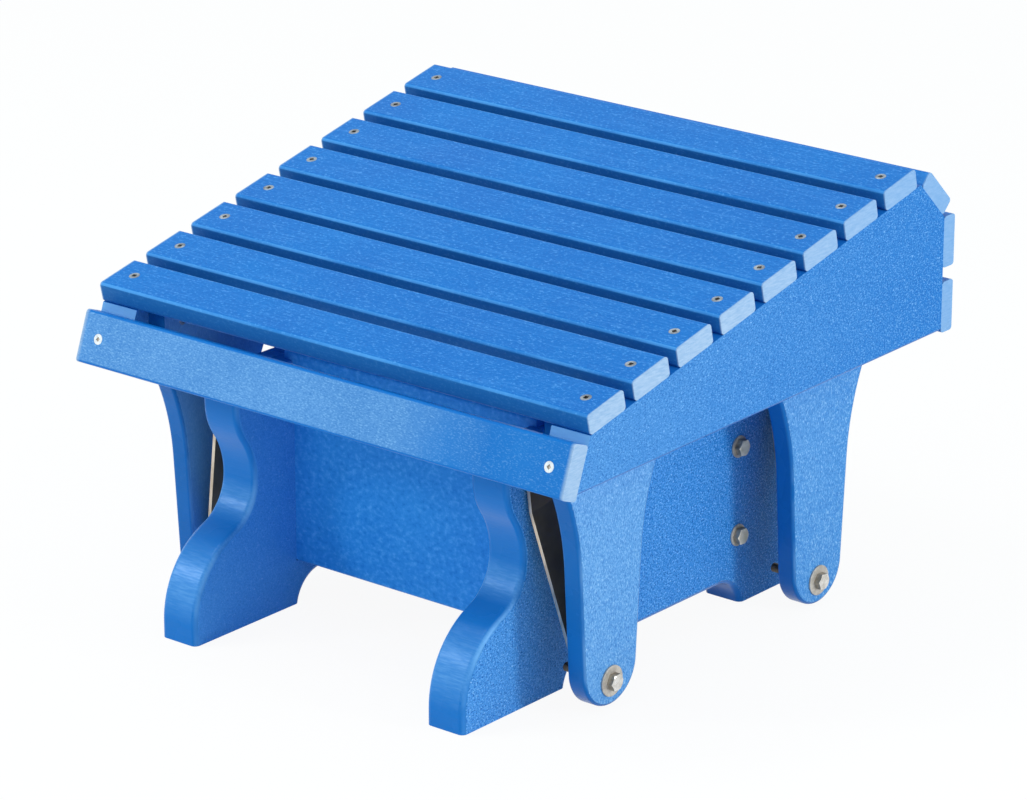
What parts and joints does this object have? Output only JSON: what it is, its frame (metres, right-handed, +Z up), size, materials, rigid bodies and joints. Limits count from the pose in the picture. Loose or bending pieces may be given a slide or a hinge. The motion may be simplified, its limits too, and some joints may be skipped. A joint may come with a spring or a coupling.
{
  "type": "glider ottoman",
  "caption": "Slatted outdoor footstool that glides on four flat swing links between a sloping seat and a base of S-curved side panels.",
  "frame": {"origin": "on the floor, under the middle of the whole stool's bounding box at rest", "axes": "+X to the sitter's left as seen from the low front edge (right in the picture), +Y from the low front edge to the high back, +Z up"},
  "size_m": [0.513, 0.5248, 0.3733],
  "materials": {
    "lumber": "blue plastic lumber, finely textured faces, smooth routed edges",
    "stainless": "plain stainless fasteners",
    "link_steel": "flat rolled stainless bar with bright cut edges",
    "bearing_steel": "ground bearing rings"
  },
  "bodies": {
    "seat": {"apron_screws": "stainless", "back_slat_screws": "stainless", "corner_slat": "lumber", "front_apron": "lumber", "front_left_hanger": "lumber", "front_right_hanger": "lumber", "hanger_screws": "stainless", "left_side_rail": "lumber", "lower_back_slat": "lumber", "lower_nut_washers": "stainless", "lower_pivot_bolts": "stainless", "lower_pivot_nuts": "stainless", "lower_pivot_spacers": "stainless", "lower_pivot_washers": "stainless", "rear_left_hanger": "lumber", "rear_right_hanger": "lumber", "right_side_rail": "lumber", "top_slat_1": "lumber", "top_slat_2": "lumber", "top_slat_3": "lumber", "top_slat_4": "lumber", "top_slat_5": "lumber", "top_slat_6": "lumber", "top_slat_7": "lumber", "top_slat_8": "lumber", "top_slat_screws": "stainless", "upper_back_slat": "lumber"},
    "base": {"base_bolts": "stainless", "base_washers": "stainless", "front_stretcher": "lumber", "left_base_panel": "lumber", "rear_stretcher": "lumber", "right_base_panel": "lumber", "upper_nut_washers": "stainless", "upper_pivot_bolts": "stainless", "upper_pivot_nuts": "stainless", "upper_pivot_spacers": "stainless", "upper_pivot_washers": "stainless"},
    "front_left_link": {"front_left_link": "link_steel", "front_left_link_bearings": "bearing_steel"},
    "front_right_link": {"front_right_link": "link_steel", "front_right_link_bearings": "bearing_steel"},
    "rear_left_link": {"rear_left_link": "link_steel", "rear_left_link_bearings": "bearing_steel"},
    "rear_right_link": {"rear_right_link": "link_steel", "rear_right_link_bearings": "bearing_steel"}
  },
  "joints": [
    {"name": "glide", "type": "hinge", "parent": "base", "child": "front_left_link", "pos_m": [-0.1678, -0.1711, 0.19582], "axis": [1, 0, 0], "range_deg": [-12, 12]},
    {"name": "front_right_swing", "type": "hinge", "parent": "base", "child": "front_right_link", "pos_m": [0.1678, -0.1711, 0.19582], "axis": [1, 0, 0], "range_deg": [-12, 12]},
    {"name": "rear_left_swing", "type": "hinge", "parent": "base", "child": "rear_left_link", "pos_m": [-0.1678, 0.15143, 0.19639], "axis": [1, 0, 0], "range_deg": [-12, 12]},
    {"name": "rear_right_swing", "type": "hinge", "parent": "base", "child": "rear_right_link", "pos_m": [0.1678, 0.15143, 0.19639], "axis": [1, 0, 0], "range_deg": [-12, 12]},
    {"name": "seat_hang", "type": "hinge", "parent": "front_left_link", "child": "seat", "pos_m": [-0.1947, -0.1471, 0.025], "axis": [1, 0, 0], "range_deg": [-13.9, 13.9]}
  ],
  "couplings": [
    {"joint": "front_right_swing", "follows": "glide", "ratio": 1},
    {"joint": "rear_left_swing", "follows": "glide", "ratio": 0.9966},
    {"joint": "rear_right_swing", "follows": "glide", "ratio": 0.9966},
    {"joint": "seat_hang", "follows": "glide", "ratio": -1.1541}
  ]
}
